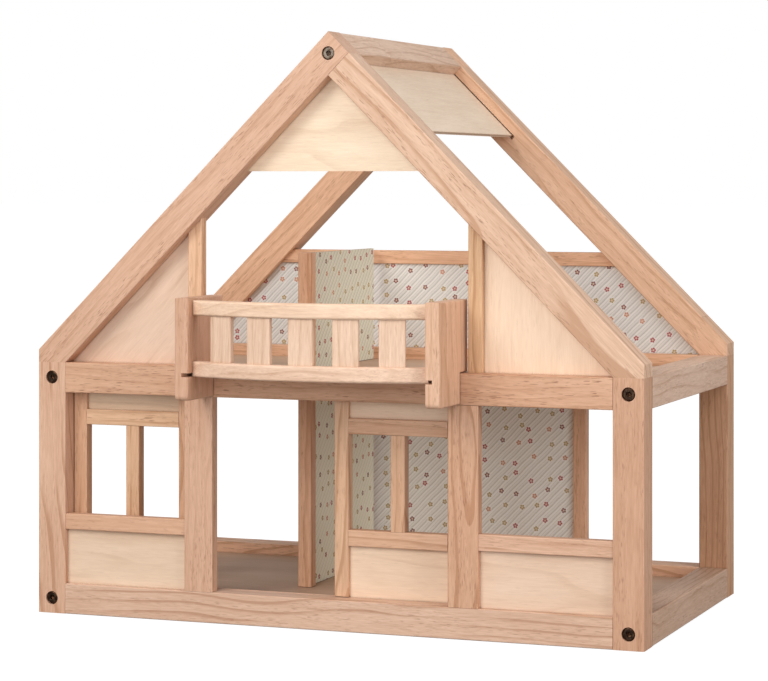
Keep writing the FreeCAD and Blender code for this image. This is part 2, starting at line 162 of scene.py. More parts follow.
def make_wood_figure():
    """Plain-sawn wood. The vector's X runs along the grain, and rings lie round a pith beside the piece."""
    tree, given, out = new_group("wood_figure", [
        ("Vector", VECTOR, None),
        ("Seed", FLOAT, 0.0),
        ("Pith", VECTOR, (0.0, 0.03, 0.02)),
        ("Lean", FLOAT, 0.0),
        ("Ring Width", FLOAT, 0.007),
        ("Figure", FLOAT, 0.5),
        ("Pores", FLOAT, 0.6),
        ("Fibre", FLOAT, 1.0),
        ("Seam At", FLOAT, NO_SEAM),
        ("Base", COLOUR, (1, 1, 1, 1)),
    ], [("Color", COLOUR), ("Tone", FLOAT), ("Height", FLOAT)])
    vector = given["Vector"]

    # A finger joint: beyond the seam the piece is another length of wood, with a zigzag edge.
    place = tree.add("ShaderNodeSeparateXYZ", {0: vector})
    zigzag = tree.math("PINGPONG", place.outputs[2], TOOTH)
    seam = tree.math("MULTIPLY_ADD", zigzag, TOOTH_SLOPE, given["Seam At"])
    beyond = tree.math("GREATER_THAN", place.outputs[0], seam)
    seed = tree.math("MULTIPLY_ADD", beyond, NEXT_LENGTH_SEED, given["Seed"])

    # Rings: the distance from the pith line, which leans to the grain and wavers.
    stray = tree.noise(vector, RING_WAVER, seed, 2.0, 0.45).outputs["Color"]
    stray = tree.vector("SUBTRACT", stray, (0.5, 0.5, 0.5)).outputs[0]
    stray = tree.vector("MULTIPLY", stray, (0.0, RING_STRAY, RING_STRAY)).outputs[0]
    climb = tree.math("MULTIPLY", place.outputs[0], given["Lean"])
    lean = tree.add("ShaderNodeCombineXYZ", {1: climb}).outputs[0]
    around = tree.vector("ADD", vector, given["Pith"]).outputs[0]
    around = tree.vector("ADD", around, lean).outputs[0]
    around = tree.vector("ADD", around, stray).outputs[0]
    flat = tree.vector("MULTIPLY", around, (0.0, 1.0, 1.0)).outputs[0]
    radius = tree.vector("LENGTH", flat).outputs["Value"]

    # Each ring darkens slowly to its late wood, then ends sharply.
    ring = tree.math("FRACT", tree.math("DIVIDE", radius, given["Ring Width"]))
    late = tree.math("MULTIPLY", tree.step(ring, 0.62, 0.95), tree.step(ring, 0.955, 1.0, 1.0, 0.0))
    fade = tree.step(tree.noise(vector, RING_FADING, seed, 1.0).outputs[0], 0.30, 0.55)
    late = tree.math("MULTIPLY", tree.math("MULTIPLY", late, fade), given["Figure"])

    cloud = tree.noise(vector, CLOUDS, seed, 2.0).outputs[0]
    streak = tree.noise(vector, STREAKS, seed, 3.0, 0.62).outputs[0]
    fibre = tree.noise(vector, FIBRES, seed, 2.0, 0.6).outputs[0]
    fine = tree.math("MULTIPLY_ADD", fibre, 1.15, tree.math("MULTIPLY", streak, 0.95))
    fine = tree.math("SUBTRACT", fine, 1.05)
    tone = tree.math("MULTIPLY_ADD", fine, given["Fibre"], tree.math("MULTIPLY", late, 1.15))
    tone = tree.math("MULTIPLY_ADD", tree.math("SUBTRACT", cloud, 0.5), 0.8, tone)
    tone = tree.math("MULTIPLY_ADD", beyond, 0.12, tone)
    tone = tree.math("ADD", tone, 0.36, clamp=True)

    # Short dark pores, gathered in bands, and the glue line of a finger joint.
    dash = tree.noise(vector, PORES, seed, 1.0, 0.4).outputs[0]
    gather = tree.noise(vector, PORE_BANDS, seed, 1.0).outputs[0]
    dash = tree.math("MULTIPLY", tree.step(dash, 0.57, 0.70), tree.step(gather, 0.36, 0.60))
    dash = tree.math("MULTIPLY", dash, given["Pores"])
    from_seam = tree.math("ABSOLUTE", tree.math("SUBTRACT", place.outputs[0], seam))
    dash = tree.math("MAXIMUM", dash, tree.step(from_seam, *GLUE_LINE, 0.5, 0.0))

    pale = tree.mix(1.0, given["Base"], PALE_WOOD, "MULTIPLY")
    deep = tree.mix(1.0, given["Base"], DEEP_WOOD, "MULTIPLY")
    pore = tree.mix(1.0, given["Base"], IN_PORES, "MULTIPLY")
    tree.feed(out["Color"], tree.mix(dash, tree.mix(tone, pale, deep), pore))
    tree.feed(out["Tone"], tone)
    tree.feed(out["Height"], tree.math("MULTIPLY_ADD", dash, -1.0, tree.math("MULTIPLY", fibre, 0.5)))
    return tree.tree


END_GRAIN = tint(122, 86, 62)
# The colour of the painted shade in joints and corners.
JOINT_SHADE = tint(96, 58, 38)
RUBBED_EDGE = (1.14, 1.17, 1.20, 1.0)
EDGE_RADIUS = 0.9 * MM


def make_ply_edge():
    """Three layers on a ply board's edges: the middle one is end grain, so it is darker."""
    tree, given, out = new_group("ply_edge", [
        ("Color", COLOUR, (1, 1, 1, 1)),
        ("Vector", VECTOR, None),
        ("Through", VECTOR, (0.0, 1.0, 0.0)),
        ("Thickness", FLOAT, 0.003),
    ], [("Color", COLOUR)])
    normal = tree.add("ShaderNodeNewGeometry").outputs["Normal"]
    facing = tree.vector("DOT_PRODUCT", normal, given["Through"]).outputs["Value"]
    edge = tree.math("LESS_THAN", tree.math("ABSOLUTE", facing), 0.5)
    depth = tree.vector("DOT_PRODUCT", given["Vector"], given["Through"]).outputs["Value"]
    share = tree.math("DIVIDE", tree.math("ABSOLUTE", depth), given["Thickness"])
    core = tree.step(share, 0.14, 0.19, 1.0, 0.0)
    fleck = tree.grit(given["Vector"], 900.0, 2.0)
    dark = tree.math("MULTIPLY_ADD", core, 0.42, tree.math("MULTIPLY", fleck, 0.3))
    shaded = tree.mix(dark, given["Color"], END_GRAIN)
    tree.feed(out["Color"], tree.mix(edge, given["Color"], shaded))
    return tree.tree


def make_shade_and_wear():
    """Painted shade: darker joints and corners, wherever ambient occlusion finds a surface close by. Also
    paler long edges, where hands have rubbed.
    """
    tree, given, out = new_group("shade_and_wear", [
        ("Color", COLOUR, (1, 1, 1, 1)),
        ("Reach", FLOAT, 0.002),
        ("Joint Shade", FLOAT, 0.4),
        ("Edges", FLOAT, 0.5),
    ], [("Color", COLOUR), ("Edge", FLOAT)])
    # Painted shade: the colour darkens wherever other surfaces lie close, as ambient occlusion finds them.
    near = tree.add("ShaderNodeAmbientOcclusion", {"Distance": given["Reach"]}, samples=4)
    occluded_shade = tree.step(tree.math("SUBTRACT", 1.0, near.outputs["AO"]), 0.12, 0.75)
    joint = tree.math("MULTIPLY", occluded_shade, given["Joint Shade"])
    shaded = tree.mix(joint, given["Color"], JOINT_SHADE)

    rounded = tree.add("ShaderNodeBevel", {"Radius": EDGE_RADIUS}, samples=4).outputs[0]
    flat = tree.add("ShaderNodeNewGeometry").outputs["Normal"]
    turned = tree.math("SUBTRACT", 1.0, tree.vector("DOT_PRODUCT", rounded, flat).outputs["Value"])
    place = tree.add("ShaderNodeTexCoord").outputs["Object"]
    patchy = tree.grit(place, 85.0, 3.0)
    edge = tree.math("MULTIPLY", tree.step(turned, 0.01, 0.16), tree.step(patchy, 0.40, 0.62))
    edge = tree.math("MULTIPLY", edge, tree.math("SUBTRACT", 1.0, occluded_shade))
    shaded_and_worn = tree.mix(1.0, shaded, RUBBED_EDGE, "MULTIPLY")
    tree.feed(out["Color"], tree.mix(tree.math("MULTIPLY", edge, given["Edges"]), shaded, shaded_and_worn))
    tree.feed(out["Edge"], edge)
    return tree.tree


# The inks of the flowers, each from its share of the flowers upwards, and the ink of their eyes.
INKS = ((0.0, (168, 56, 66)), (0.30, (128, 62, 54)), (0.50, (196, 118, 72)), (0.66, (168, 138, 52)))
EYE_INK = tint(226, 176, 120)
PETAL = 2 * math.pi / 5
PETAL_REACH = 0.58


def make_print_paper():
    """Paper printed with fine slanting stripes and scattered little flowers with five petals."""
    tree, given, out = new_group("print_paper", [
        ("Vector", VECTOR, None),
        ("Seed", FLOAT, 0.0),
        ("Stripe Pitch", FLOAT, 0.0050),
        ("Slant", FLOAT, math.radians(45)),
        ("Flower Pitch", FLOAT, 0.0142),
        ("Flower Radius", FLOAT, 0.0026),
        ("Ground", COLOUR, (1, 1, 1, 1)),
        ("Stripe", COLOUR, (0, 0, 0, 1)),
    ], [("Color", COLOUR), ("Height", FLOAT)])

    # Stripes: a broad soft one and two fine ones in each pitch, a little uneven, on fibrous paper.
    place = tree.add("ShaderNodeSeparateXYZ", {0: given["Vector"]})
    rise = tree.math("MULTIPLY", place.outputs[1], tree.math("COSINE", given["Slant"]))
    run = tree.math("MULTIPLY", place.outputs[0], tree.math("SINE", given["Slant"]))
    across = tree.math("SUBTRACT", rise, run)
    wobble = tree.grit(given["Vector"], 60.0, 1.0)
    across = tree.math("MULTIPLY_ADD", wobble, 1.6 * MM, across)
    phase = tree.math("MULTIPLY", tree.math("DIVIDE", across, given["Stripe Pitch"]), 2 * math.pi)
    broad = tree.step(tree.math("SINE", phase), -0.2, 1.0)
    fine = tree.step(tree.math("SINE", tree.math("MULTIPLY", phase, 2.0)), 0.0, 0.9)
    stripe = tree.math("MULTIPLY_ADD", fine, 0.45, tree.math("MULTIPLY", broad, 0.34))
    fibre = tree.grit(given["Vector"], 800.0, 2.0)
    stripe = tree.math("MULTIPLY_ADD", tree.math("SUBTRACT", fibre, 0.5), 0.5, stripe, clamp=True)
    paper = tree.mix(stripe, given["Ground"], given["Stripe"])

    # Flowers: one to a cell, each turned by its own angle.
    seed = tree.add("ShaderNodeCombineXYZ", {0: given["Seed"], 1: given["Seed"]}).outputs[0]
    shifted = tree.vector("ADD", given["Vector"], seed).outputs[0]
    scale = tree.math("DIVIDE", 1.0, given["Flower Pitch"])
    cell = tree.add("ShaderNodeTexVoronoi", {"Vector": shifted, "Scale": scale, "Randomness": 0.62},
                    voronoi_dimensions="2D", feature="F1")
    away = tree.vector("SUBTRACT", shifted, cell.outputs["Position"]).outputs[0]
    local = tree.add("ShaderNodeSeparateXYZ", {0: away})
    kind = tree.add("ShaderNodeSeparateColor", {0: cell.outputs["Color"]})
    flat = tree.add("ShaderNodeCombineXYZ", {0: local.outputs[0], 1: local.outputs[1]}).outputs[0]
    far = tree.math("DIVIDE", tree.vector("LENGTH", flat).outputs["Value"], given["Flower Radius"])
    angle = tree.math("ARCTAN2", local.outputs[1], local.outputs[0])
    angle = tree.math("MULTIPLY_ADD", kind.outputs[1], 2 * math.pi, angle)
    folded = tree.math("SUBTRACT", tree.math("FLOORED_MODULO", angle, PETAL), PETAL / 2)
    petal_x = tree.math("SUBTRACT", tree.math("MULTIPLY", far, tree.math("COSINE", folded)), PETAL_REACH)
    petal_y = tree.math("MULTIPLY", far, tree.math("SINE", folded))
    petal_place = tree.add("ShaderNodeCombineXYZ", {0: petal_x, 1: petal_y}).outputs[0]
    from_petal = tree.vector("LENGTH", petal_place).outputs["Value"]
    petals = tree.step(from_petal, 0.24, 0.42, 1.0, 0.0)
    eye = tree.step(far, 0.10, 0.34, 1.0, 0.0)

    inks = tree.add("ShaderNodeValToRGB", {0: kind.outputs[0]})
    stops = inks.color_ramp.elements
    inks.color_ramp.interpolation = "CONSTANT"
    for start, shade in INKS[1:]:
        stops.new(start).color = tint(*shade)
    stops[0].color = tint(*INKS[0][1])
    stops.remove(stops[-1])
    strength = tree.step(kind.outputs[0], 0.48, 0.52, 0.95, 0.85)
    halo = tree.step(far, 1.0, 1.5, 0.5, 0.0)
    inked = tree.mix(halo, paper, given["Ground"])
    inked = tree.mix(tree.math("MULTIPLY", petals, strength), inked, inks.outputs[0])
    inked = tree.mix(tree.math("MULTIPLY", eye, 0.7), inked, EYE_INK)
    tree.feed(out["Color"], inked)
    tree.feed(out["Height"], fibre)
    return tree.tree


wood_figure = make_wood_figure()
ply_edge = make_ply_edge()
shade_and_wear = make_shade_and_wear()
print_paper = make_print_paper()

# ---- finishes ----------------------------------------------------------------------------------

# For each way that a piece's grain runs, the turn that brings it onto the pattern's X axis.
GRAIN = {
    "x": Euler((0, 0, 0)),
    "y": Euler((0, 0, math.radians(-90))),
    "z": Euler((0, math.radians(90), 0)),
    "up_right": Euler((0, math.radians(45), 0)),
    "up_left": Euler((0, math.radians(-45), 0)),
}

# Base colours of woods and plies, as display values.
FRAME_WOOD = (214, 173, 146)
PINK_WOOD = (212, 168, 138)
WARM_WOOD = (208, 164, 132)
# Paler wood for the pieces at the back: painted light, standing in for the brighter light inside the house.
REAR_WOOD_PAINTED_LIGHT = (230, 184, 150)
CREAM_WOOD = (236, 204, 177)
PALE_PLY = (228, 199, 174)
CREAM_PLY = (246, 224, 198)
FLOOR_PLY = (206, 176, 152)
BACK_PLY = (214, 186, 160)

THIN_PLY = 3 * MM
THICK_PLY = 4 * MM

# Ways that a board faces.
TO_FRONT = (0.0, -1.0, 0.0)
TO_SIDES = (1.0, 0.0, 0.0)


def middle_of(node):
    """The centre of a CAD node's box."""
    low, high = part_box(node)
    return (low + high) / 2


def grain_vector(tree, centre, grain):
    """Object coordinates turned and moved so that X runs along the grain from the piece's centre."""
    turn = GRAIN[grain]
    here = tree.add("ShaderNodeTexCoord").outputs["Object"]
    return tree.add("ShaderNodeMapping", {
        "Vector": here,
        "Location": -(turn.to_matrix() @ centre),
        "Rotation": turn,
    }).outputs[0]


def new_material(name):
    """An empty material's node tree."""
    material = bpy.data.materials.new(name)
    material.use_nodes = True
    return material, Tree(material.node_tree)


def finish_surface(tree, colour, height, roughness, bump, specular):
    """Closes a material with one satin surface."""
    relief = tree.add("ShaderNodeBump", {
        "Strength": bump, "Distance": 0.15 * MM, "Height": height}).outputs[0]
    surface = tree.add("ShaderNodeBsdfPrincipled", {
        "Base Color": colour, "Roughness": roughness, "Normal": relief, "Specular IOR Level": specular})
    tree.add("ShaderNodeOutputMaterial", {"Surface": surface.outputs[0]})


def figure_of(tree, vector, seed, base, pith, lean, ring, figure, pores, fibre, seam=NO_SEAM):
    """The wood pattern with its values. Pith and ring width are in millimetres."""
    return tree.add("ShaderNodeGroup", {
        "Vector": vector, "Seed": seed, "Pith": (0.0, pith[0] * MM, pith[1] * MM), "Lean": lean,
        "Ring Width": ring * MM, "Figure": figure, "Pores": pores, "Fibre": fibre, "Seam At": seam,
        "Base": tint(*base),
    }, node_tree=wood_figure)


def sliced_figure(tree, vector, seed, base, figure, pores, fibre):
    """The face of ply: long straight figure from a pith far off."""
    return figure_of(tree, vector, seed, base, (90, 12), 0.0, 6.0, figure, pores, fibre)


def solid_wood(name, centre, grain, seed, base=FRAME_WOOD, pith=(30, 22), lean=0.02, ring=8.0,
               figure=0.6, pores=0.5, seam=NO_SEAM):
    """Varnished solid wood for one piece."""
    material, tree = new_material(name)
    vector = grain_vector(tree, centre, grain)
    wood = figure_of(tree, vector, seed, base, pith, lean, ring, figure, pores, 1.0, seam)
    # Painted shade in joints and corners, and paler rubbed edges.
    shaded_and_worn = tree.add("ShaderNodeGroup", {"Color": wood.outputs["Color"]}, node_tree=shade_and_wear)
    roughness = tree.math("MULTIPLY_ADD", wood.outputs["Tone"], 0.12, 0.44)
    roughness = tree.math("MULTIPLY_ADD", shaded_and_worn.outputs["Edge"], -0.10, roughness)
    finish_surface(tree, shaded_and_worn.outputs["Color"], wood.outputs["Height"], roughness, 0.25, 0.35)
    return material


def ply(name, centre, grain, through, thickness, seed, base, figure):
    """Ply with a sliced face, and layers on its edges."""
    material, tree = new_material(name)
    vector = grain_vector(tree, centre, grain)
    wood = sliced_figure(tree, vector, seed, base, figure, 0.12, 0.45)
    local = tree.vector("SUBTRACT", tree.add("ShaderNodeTexCoord").outputs["Object"], centre).outputs[0]
    edged = tree.add("ShaderNodeGroup", {
        "Color": wood.outputs["Color"], "Vector": local, "Through": through, "Thickness": thickness,
    }, node_tree=ply_edge)
    # Painted shade in joints and corners, and paler rubbed edges.
    shaded_and_worn = tree.add("ShaderNodeGroup", {"Color": edged.outputs["Color"], "Joint Shade": 0.5}, node_tree=shade_and_wear)
    roughness = tree.math("MULTIPLY_ADD", wood.outputs["Tone"], 0.10, 0.50)
    finish_surface(tree, shaded_and_worn.outputs["Color"], wood.outputs["Height"], roughness, 0.15, 0.3)
    return material


def papered(name, centre, through, papered_way, across, seed, paper, stripe):
    """A board with printed paper on its faces along papered_way, and bare ply elsewhere. Across is the
    number of the axis that the pattern's X follows. A board that faces the sides has paper on both."""
    material, tree = new_material(name)
    here = tree.add("ShaderNodeTexCoord").outputs["Object"]
    place = tree.add("ShaderNodeSeparateXYZ", {0: here})
    flat = tree.add("ShaderNodeCombineXYZ", {0: place.outputs[across], 1: place.outputs[2]}).outputs[0]
    printed = tree.add("ShaderNodeGroup", {
        "Vector": flat, "Seed": seed, "Ground": tint(*paper), "Stripe": tint(*stripe),
    }, node_tree=print_paper)
    vector = grain_vector(tree, centre, "z")
    wood = sliced_figure(tree, vector, seed, BACK_PLY, 0.25, 0.15, 0.6)
    local = tree.vector("SUBTRACT", here, centre).outputs[0]
    edged = tree.add("ShaderNodeGroup", {
        "Color": wood.outputs["Color"], "Vector": local, "Through": through, "Thickness": THIN_PLY,
    }, node_tree=ply_edge)
    normal = tree.add("ShaderNodeNewGeometry").outputs["Normal"]
    facing = tree.vector("DOT_PRODUCT", normal, papered_way).outputs["Value"]
    if papered_way == TO_SIDES:
        facing = tree.math("ABSOLUTE", facing)
    on_paper = tree.math("GREATER_THAN", facing, 0.5)
    colour = tree.mix(on_paper, edged.outputs["Color"], printed.outputs["Color"])
    # Painted shade in joints and corners, and paler rubbed edges.
    shaded_and_worn = tree.add("ShaderNodeGroup", {"Color": colour, "Joint Shade": 0.45}, node_tree=shade_and_wear)
    roughness = tree.math("MULTIPLY_ADD", on_paper, 0.22, 0.50)
    finish_surface(tree, shaded_and_worn.outputs["Color"], printed.outputs["Height"], roughness, 0.12, 0.3)
    return material


DULL_METAL = tint(96, 78, 62)
RIM_BARE_AND_HIGHLIGHT = tint(186, 168, 146)


def bolt_metal(name, base, roughness):
    """Bronzed or plated steel, a little blotchy, with painted shade in its recesses and a paler rim at its
    edges, partly rubbed bare and partly a painted highlight.
    """
    material, tree = new_material(name)
    here = tree.add("ShaderNodeTexCoord").outputs["Object"]
    grit = tree.grit(here, 2400.0, 3.0)
    blotch = tree.grit(here, 320.0, 2.0)
    colour = tree.mix(tree.step(blotch, 0.42, 0.75), base, DULL_METAL)
    # Painted shade: dark in the counterbore and the socket, where other surfaces lie close.
    shaded_and_worn = tree.add("ShaderNodeGroup", {
        "Color": colour, "Reach": 3.0 * MM, "Joint Shade": 1.0}, node_tree=shade_and_wear)
    # A paler rim at the head's edges: wear, and a painted highlight for the bright ring.
    rim_rubbed_and_highlit = tree.math("MULTIPLY", shaded_and_worn.outputs["Edge"], 0.35)
    colour = tree.mix(rim_rubbed_and_highlit, shaded_and_worn.outputs["Color"], RIM_BARE_AND_HIGHLIGHT)
    rough = tree.math("MULTIPLY_ADD", grit, 0.22, roughness - 0.11)
    relief = tree.add("ShaderNodeBump", {
        "Strength": 0.2, "Distance": 0.05 * MM, "Height": grit}).outputs[0]
    surface = tree.add("ShaderNodeBsdfPrincipled", {
        "Base Color": colour, "Roughness": rough, "Metallic": 1.0, "Normal": relief})
    tree.add("ShaderNodeOutputMaterial", {"Surface": surface.outputs[0]})
    return material


def dress(node, material):
    """Gives a CAD node its material."""
    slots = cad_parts[node].data.materials
    slots.clear()
    slots.append(material)


# ---- solid wood pieces -------------------------------------------------------------------------

# Each row: node, grain, and what differs from the plain bar.
SOLID = [
    ("front_post_left", "z", dict(pith=(2, 14), lean=0.10, ring=8.0, figure=1.0, pores=0.3)),
    ("front_post_right", "z", dict(base=(203, 158, 129), pith=(34, 10), ring=7.5, figure=0.4)),
    ("rear_post_left", "z", dict(base=REAR_WOOD_PAINTED_LIGHT)),
    ("rear_post_right", "z", dict(base=(200, 155, 122), pith=(12, 40), ring=6.0)),
    ("front_rafter_left", "up_right", dict(pith=(16, 60), figure=0.35, pores=0.6)),
    ("front_rafter_right", "up_left", dict(base=(222, 185, 158), pith=(20, 14), lean=0.09, ring=11.0,
                                           pores=0.7)),
    ("rear_rafter_left", "up_right", dict(base=REAR_WOOD_PAINTED_LIGHT, figure=0.4)),
    ("rear_rafter_right", "up_left", dict(base=(222, 182, 152), pith=(15, 18), figure=0.4, seam=0.142)),
    ("ridge_beam", "y", dict(base=(226, 194, 171), pith=(14, 20), figure=0.5, seam=-0.055)),
    ("front_loft_beam", "x", dict(base=PINK_WOOD, pith=(18, 50), figure=0.3, pores=0.75)),
    ("front_base_rail", "x", dict(base=(214, 178, 154), pith=(9, 26), lean=0.04, figure=0.8, pores=0.45)),
    ("rear_loft_beam", "x", dict(base=REAR_WOOD_PAINTED_LIGHT)),
    ("rear_base_rail", "x", dict(base=(244, 198, 165), pith=(9, 18), lean=0.2, figure=0.8)),
    ("side_loft_beam_left", "y", dict(base=WARM_WOOD)),
    ("side_loft_beam_right", "y", dict(base=(218, 186, 164), pith=(24, 16), figure=0.4, seam=0.045)),
    ("side_base_rail_left", "y", dict(base=WARM_WOOD)),
    ("side_base_rail_right", "y", dict(base=(198, 164, 140), pith=(40, 14), ring=6.0, figure=0.5)),
    ("door_post_left", "z", dict(pith=(30, 34), figure=0.35, pores=0.7)),
    ("door_post_right", "z", dict(base=PINK_WOOD, pith=(3, 6), lean=0.08, ring=7.0, figure=0.9, pores=0.6)),
    ("window_sill_left", "x", dict(base=PINK_WOOD, pith=(14, 30), figure=0.45)),
    ("window_sill_right", "x", dict(pith=(8, 20), lean=0.05, figure=0.7)),
    ("loft_stud_left", "z", dict(base=(226, 184, 150), pith=(20, 34))),
    ("loft_stud_right", "z", dict(base=(214, 174, 136), pith=(12, 30), figure=0.8)),
    ("rear_wall_posts", "z", dict(base=REAR_WOOD_PAINTED_LIGHT, pith=(30, 60))),
    ("rear_wall_rail", "x", dict(base=REAR_WOOD_PAINTED_LIGHT, figure=0.4)),
    ("door_left_stiles", "z", dict(base=(212, 168, 136), pith=(60, 34))),
    ("door_left_rails", "x", dict(base=(218, 178, 144), pith=(18, 70), pores=0.7)),
    ("door_left_muntin", "z", dict(base=(212, 170, 136), pith=(4, 14), lean=0.09, figure=0.9)),
    ("door_right_stiles", "z", dict(base=(216, 176, 144), pith=(60, 10), lean=0.05, ring=6.0, figure=0.9)),
    ("door_right_rails", "x", dict(base=(216, 174, 144), pith=(16, 66))),
    ("door_right_muntin", "z", dict(base=(212, 170, 138), pith=(14, 26))),
    ("lower_partition_edge", "z", dict(base=REAR_WOOD_PAINTED_LIGHT)),
    ("upper_partition_edge", "z", dict(base=REAR_WOOD_PAINTED_LIGHT)),
    ("balcony_bracket_left", "z", dict(base=(212, 170, 143), pith=(20, 36), figure=0.3)),
    ("balcony_bracket_right", "z", dict(base=(222, 181, 152), pith=(24, 30), figure=0.35)),
    ("balcony_top_rail", "x", dict(base=CREAM_WOOD, figure=0.25, pores=0.2)),
    ("balcony_low_rail", "x", dict(base=(228, 194, 169), figure=0.3, pores=0.3)),
    ("balcony_pins", "z", dict(base=CREAM_WOOD, figure=0.3, pores=0.3)),
    ("frame_dowels", "x", dict(base=CREAM_WOOD, figure=0.3, pores=0.3)),
]
# The seed of the figure grows from piece to piece, so that no two look alike.
for index, (node, grain, differences) in enumerate(SOLID):
    seed = 1.7 * index + 3.1
    dress(node, solid_wood(node + "_wood", middle_of(node), grain, seed, **differences))

# ---- ply pieces --------------------------------------------------------------------------------

# The way through a board's thickness, for each way that it lies.
UPRIGHT = (0.0, 1.0, 0.0)
LEVEL = (0.0, 0.0, 1.0)
ROOT_HALF = math.sqrt(0.5)

# Each row: node, grain, way through, thickness, base colour and strength of figure.
PLY = [
    ("gable_panel", "x", UPRIGHT, THIN_PLY, CREAM_PLY, 0.16),
    ("eave_panel_left", "up_right", UPRIGHT, THIN_PLY, (229, 200, 177), 0.25),
    ("eave_panel_right", "z", UPRIGHT, THIN_PLY, (243, 216, 190), 0.1),
    ("lower_front_panel_left", "x", UPRIGHT, THIN_PLY, (226, 199, 174), 0.2),
    ("lower_front_panel_right", "x", UPRIGHT, THIN_PLY, (230, 201, 177), 0.14),
    ("door_left_panels", "x", UPRIGHT, THIN_PLY, (228, 200, 172), 0.2),
    ("door_right_panels", "x", UPRIGHT, THIN_PLY, (232, 204, 178), 0.2),
    ("ground_floor", "x", LEVEL, THICK_PLY, FLOOR_PLY, 0.25),
    ("loft_floor", "x", LEVEL, THICK_PLY, FLOOR_PLY, 0.25),
    ("balcony_floor", "x", LEVEL, THIN_PLY, PALE_PLY, 0.25),
    ("roof_panel_left", "y", (-ROOT_HALF, 0.0, ROOT_HALF), THIN_PLY, PALE_PLY, 0.08),
    ("roof_panel_right", "y", (ROOT_HALF, 0.0, ROOT_HALF), THIN_PLY, (238, 216, 193), 0.06),
]
for index, (node, grain, through, thickness, base, figure) in enumerate(PLY):
    seed = 2.3 * index + 81.0
    dress(node, ply(node + "_ply", middle_of(node), grain, through, thickness, seed, base, figure))

# ---- boards with printed paper -----------------------------------------------------------------

# Pairs of ground and stripe colours. The lower storey's paper is a brighter copy, painted light, and the
# loft's is a dimmer one, painted shade.
LOWER_PAPER_PAINTED_LIGHT = ((255, 253, 246), (206, 200, 188))
UPPER_PAPER_PAINTED_SHADE = ((236, 233, 229), (184, 182, 176))
WARM_LOWER_PAPER_PAINTED_LIGHT = ((255, 255, 236), (226, 219, 196))
WARM_UPPER_PAPER_PAINTED_SHADE = ((236, 234, 216), (184, 182, 162))

# Each row: node, way through its thickness, the way its paper faces, the axis across it and its paper.
PAPERED = [
    ("rear_wall_lower", UPRIGHT, TO_FRONT, 0, LOWER_PAPER_PAINTED_LIGHT),
    ("rear_wall_upper", UPRIGHT, TO_FRONT, 0, UPPER_PAPER_PAINTED_SHADE),
    ("lower_partition_board", TO_SIDES, TO_SIDES, 1, WARM_LOWER_PAPER_PAINTED_LIGHT),
    ("upper_partition_board", TO_SIDES, TO_SIDES, 1, WARM_UPPER_PAPER_PAINTED_SHADE),
]
for index, (node, through, way, across, (paper, stripe)) in enumerate(PAPERED):
    seed = 0.37 * index + 1.2
    dress(node, papered(node + "_paper", middle_of(node), through, way, across, seed, paper, stripe))


# ---- geometry nodes ----------------------------------------------------------------------------

def baked(name, source, tree, values, body):
    """Runs a geometry tree on an object and keeps the result as a plain mesh that rides on a body."""
    modifier = source.modifiers.new(name, "NODES")
    modifier.node_group = tree
    for item in tree.interface.items_tree:
        if item.item_type == "SOCKET" and item.in_out == "INPUT" and item.name in values:
            modifier[item.identifier] = values[item.name]
    evaluated = source.evaluated_get(bpy.context.evaluated_depsgraph_get())
    mesh = bpy.data.meshes.new_from_object(evaluated)
    mesh.name = name
    source.modifiers.remove(modifier)
    bpy.data.objects.remove(source)
    piece = bpy.data.objects.new(name, mesh)
    bpy.context.scene.collection.objects.link(piece)
    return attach(piece, body)


def object_from(name, bm):
    """A linked object from a bmesh."""
    mesh = bpy.data.meshes.new(name)
    bm.to_mesh(mesh)
    bm.free()
    made = bpy.data.objects.new(name, mesh)
    bpy.context.scene.collection.objects.link(made)
    return made


def make_bolt_tree():
    """Puts a bolt on every point. Bolts behind the middle face the back. Each is turned at random."""
    tree, given, out = new_group("bolts_on_points", [
        ("Geometry", "NodeSocketGeometry", None),
        ("Bolt", "NodeSocketObject", None),
        ("Middle", FLOAT, 0.0),
        ("Seed", "NodeSocketInt", 0),
        ("Metal", "NodeSocketMaterial", None),
    ], [("Geometry", "NodeSocketGeometry")], "GeometryNodeTree")
    bolt = tree.add("GeometryNodeObjectInfo", {"Object": given["Bolt"]}).outputs["Geometry"]
    place = tree.add("ShaderNodeSeparateXYZ", {0: tree.add("GeometryNodeInputPosition").outputs[0]})
    behind = tree.math("GREATER_THAN", place.outputs[1], given["Middle"])
    spin = tree.add("FunctionNodeRandomValue", data_type="FLOAT")
    tree.feed(spin.inputs[2], 0.0)
    tree.feed(spin.inputs[3], math.pi / 3)
    tree.feed(spin.inputs["Seed"], given["Seed"])
    turn = tree.add("ShaderNodeCombineXYZ", {1: spin.outputs[1], 2: tree.math("MULTIPLY", behind, math.pi)})
    turn = tree.add("FunctionNodeEulerToRotation", {0: turn.outputs[0]}).outputs[0]
    bolts = tree.add("GeometryNodeInstanceOnPoints", {
        "Points": given["Geometry"], "Instance": bolt, "Rotation": turn}).outputs[0]
    real = tree.add("GeometryNodeRealizeInstances", {0: bolts}).outputs[0]
    dressed = tree.add("GeometryNodeSetMaterial", {"Geometry": real, "Material": given["Metal"]}).outputs[0]
    tree.feed(out[0], dressed)
    return tree.tree


# Sizes of a bolt.
HEAD_RADIUS = 5.0 * MM
HEAD_HEIGHT = 5.5 * MM
HEAD_ROUNDING = 0.8 * MM
SOCKET_ACROSS_FLATS = 4.0 * MM
SOCKET_DEPTH = 2.5 * MM
SOCKET_CHAMFER = 0.25 * MM
DRILL_POINT = 0.8 * MM
KNURL_DEPTH = 0.12 * MM
SHANK_RADIUS = 3.0 * MM
BOLT_SIDES = 48


def circle(radius):
    """A round outline."""
    return lambda angle, index: radius


def hexagon(across_flats, grown=0.0):
    """A six-sided outline, grown outwards all round."""
    def reach(angle, index):
        return 0.5 * across_flats / math.cos((angle % (math.pi / 3)) - math.pi / 6) + grown
    return reach


def knurl(radius):
    """A round outline with a groove at every other side."""
    return lambda angle, index: radius - KNURL_DEPTH * (index % 2)


